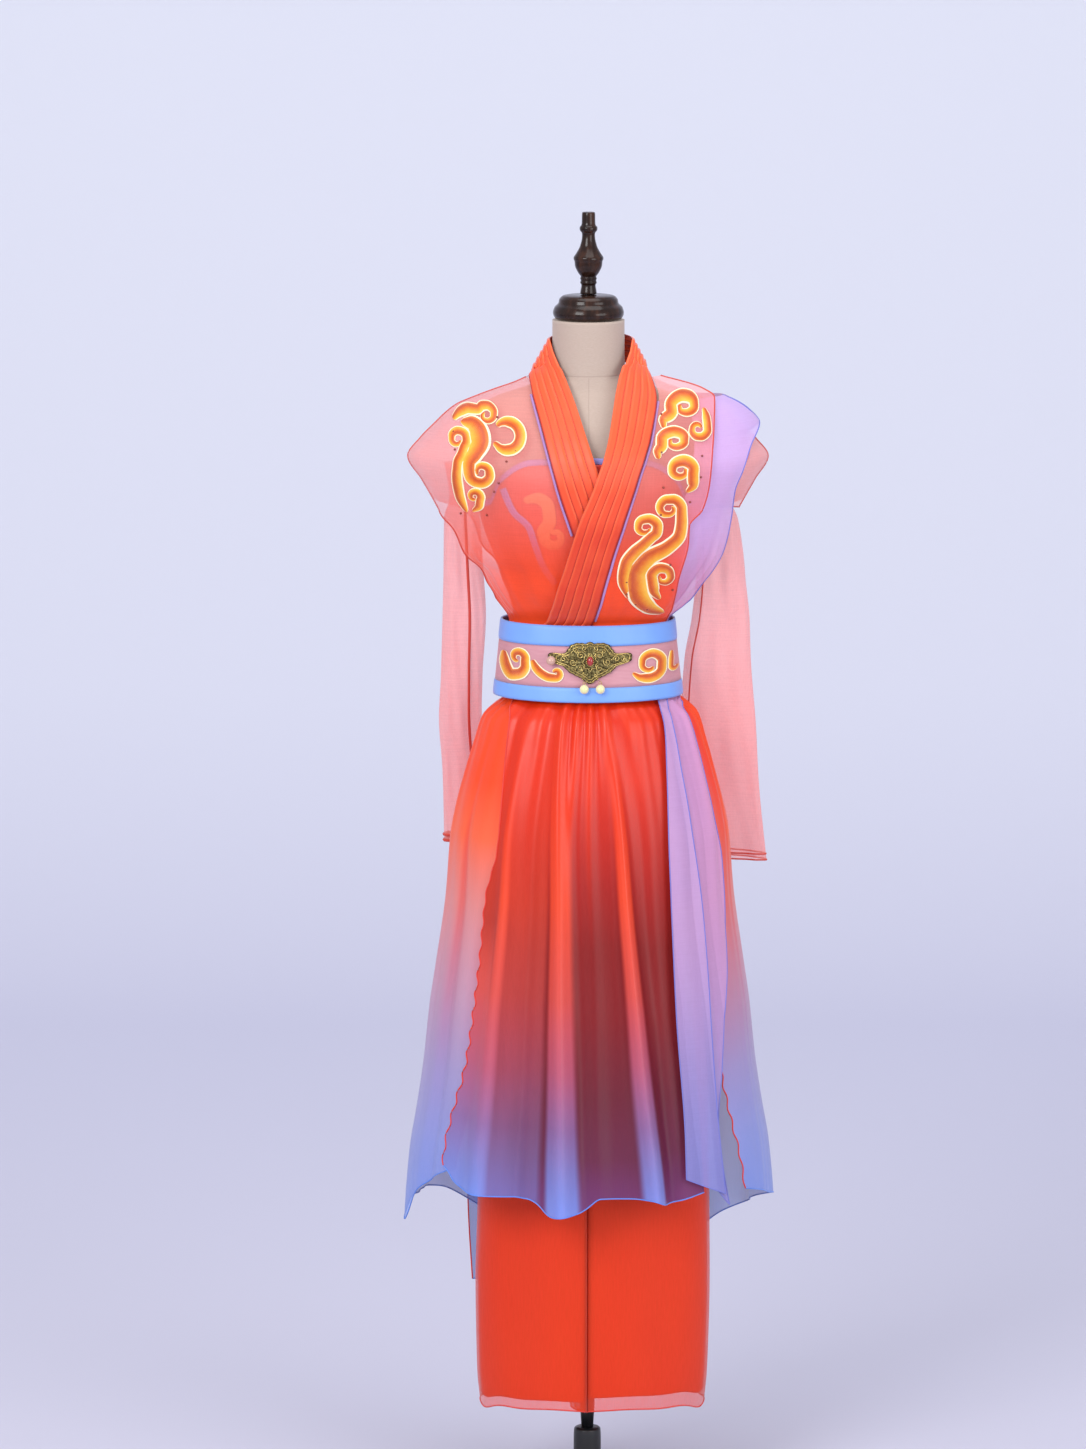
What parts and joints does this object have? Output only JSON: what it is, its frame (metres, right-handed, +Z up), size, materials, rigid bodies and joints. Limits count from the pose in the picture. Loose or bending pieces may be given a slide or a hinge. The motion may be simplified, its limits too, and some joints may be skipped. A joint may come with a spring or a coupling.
{
  "type": "dance costume on dress form",
  "caption": "Sheer cross-over dance costume with belt, overskirt and wide trousers, worn on a limbless dress form with a stand.",
  "frame": {"origin": "middle of the base plate's underside, on the floor", "axes": "+Z up along the pole, -Y the costume's front, +X the side of the lilac drape"},
  "size_m": [0.4997, 0.4008, 1.7455],
  "materials": {
    "form_linen": "matt plain weave",
    "dark_wood": "polished lacquer",
    "black_steel": "satin paint",
    "collar_orange": "soft satin",
    "camisole_orange": "soft satin",
    "coral_organza": "sheer, soft sheen",
    "lilac_organza": "sheer, soft sheen",
    "skirt_ombre": "sheer satin, shaded vermilion to lilac blue",
    "trouser_vermilion": "matt chiffon",
    "sky_blue_satin": "satin",
    "belt_pink": "slubbed satin",
    "lilac_binding": "satin",
    "gold_embroidery": "satin stitch",
    "antique_brass": "aged, polished on high points",
    "pearl": "lustre",
    "red_stone": "glossy"
  },
  "bodies": {
    "root": {"form_torso": "form_linen", "neck_cap": "dark_wood", "finial": "dark_wood", "pole": "black_steel", "base_socket": "black_steel", "base_plate": "black_steel", "camisole_body": "camisole_orange", "camisole_binding": "lilac_binding", "camisole_band": "lilac_binding", "vest_front_left": "coral_organza", "vest_front_right": "coral_organza", "vest_back": "coral_organza", "cap_right": "coral_organza", "drape_front": "lilac_organza", "drape_back": "lilac_organza", "collar_under": "collar_orange", "collar_over": "collar_orange", "piping_under": "lilac_binding", "piping_over": "lilac_binding", "sleeve_left": "coral_organza", "sleeve_right": "coral_organza", "belt_band": "belt_pink", "belt_binding_upper": "sky_blue_satin", "belt_binding_lower": "sky_blue_satin", "buckle_plate": "antique_brass", "buckle_stone": "red_stone", "pearl_left": "pearl", "pearl_right": "pearl", "pearl_side": "pearl", "skirt_front": "skirt_ombre", "skirt_side_left": "skirt_ombre", "skirt_back": "skirt_ombre", "lilac_panel_inner": "lilac_organza", "lilac_panel_outer": "lilac_organza", "trousers_top": "trouser_vermilion", "leg_left": "trouser_vermilion", "leg_right": "trouser_vermilion", "lining_left": "trouser_vermilion", "lining_right": "trouser_vermilion", "scroll_left_top": "gold_embroidery", "scroll_left_main": "gold_embroidery", "scroll_left_ring": "gold_embroidery", "scroll_left_low": "gold_embroidery", "scroll_left_tail": "gold_embroidery", "scroll_right_top": "gold_embroidery", "scroll_right_rose": "gold_embroidery", "scroll_right_second": "gold_embroidery", "scroll_right_third": "gold_embroidery", "scroll_chest_main": "gold_embroidery", "scroll_chest_side": "gold_embroidery", "scroll_chest_low": "gold_embroidery", "scroll_belt_left": "gold_embroidery", "scroll_belt_wave": "gold_embroidery", "scroll_belt_ring": "gold_embroidery", "scroll_belt_end": "gold_embroidery"}
  },
  "joints": []
}
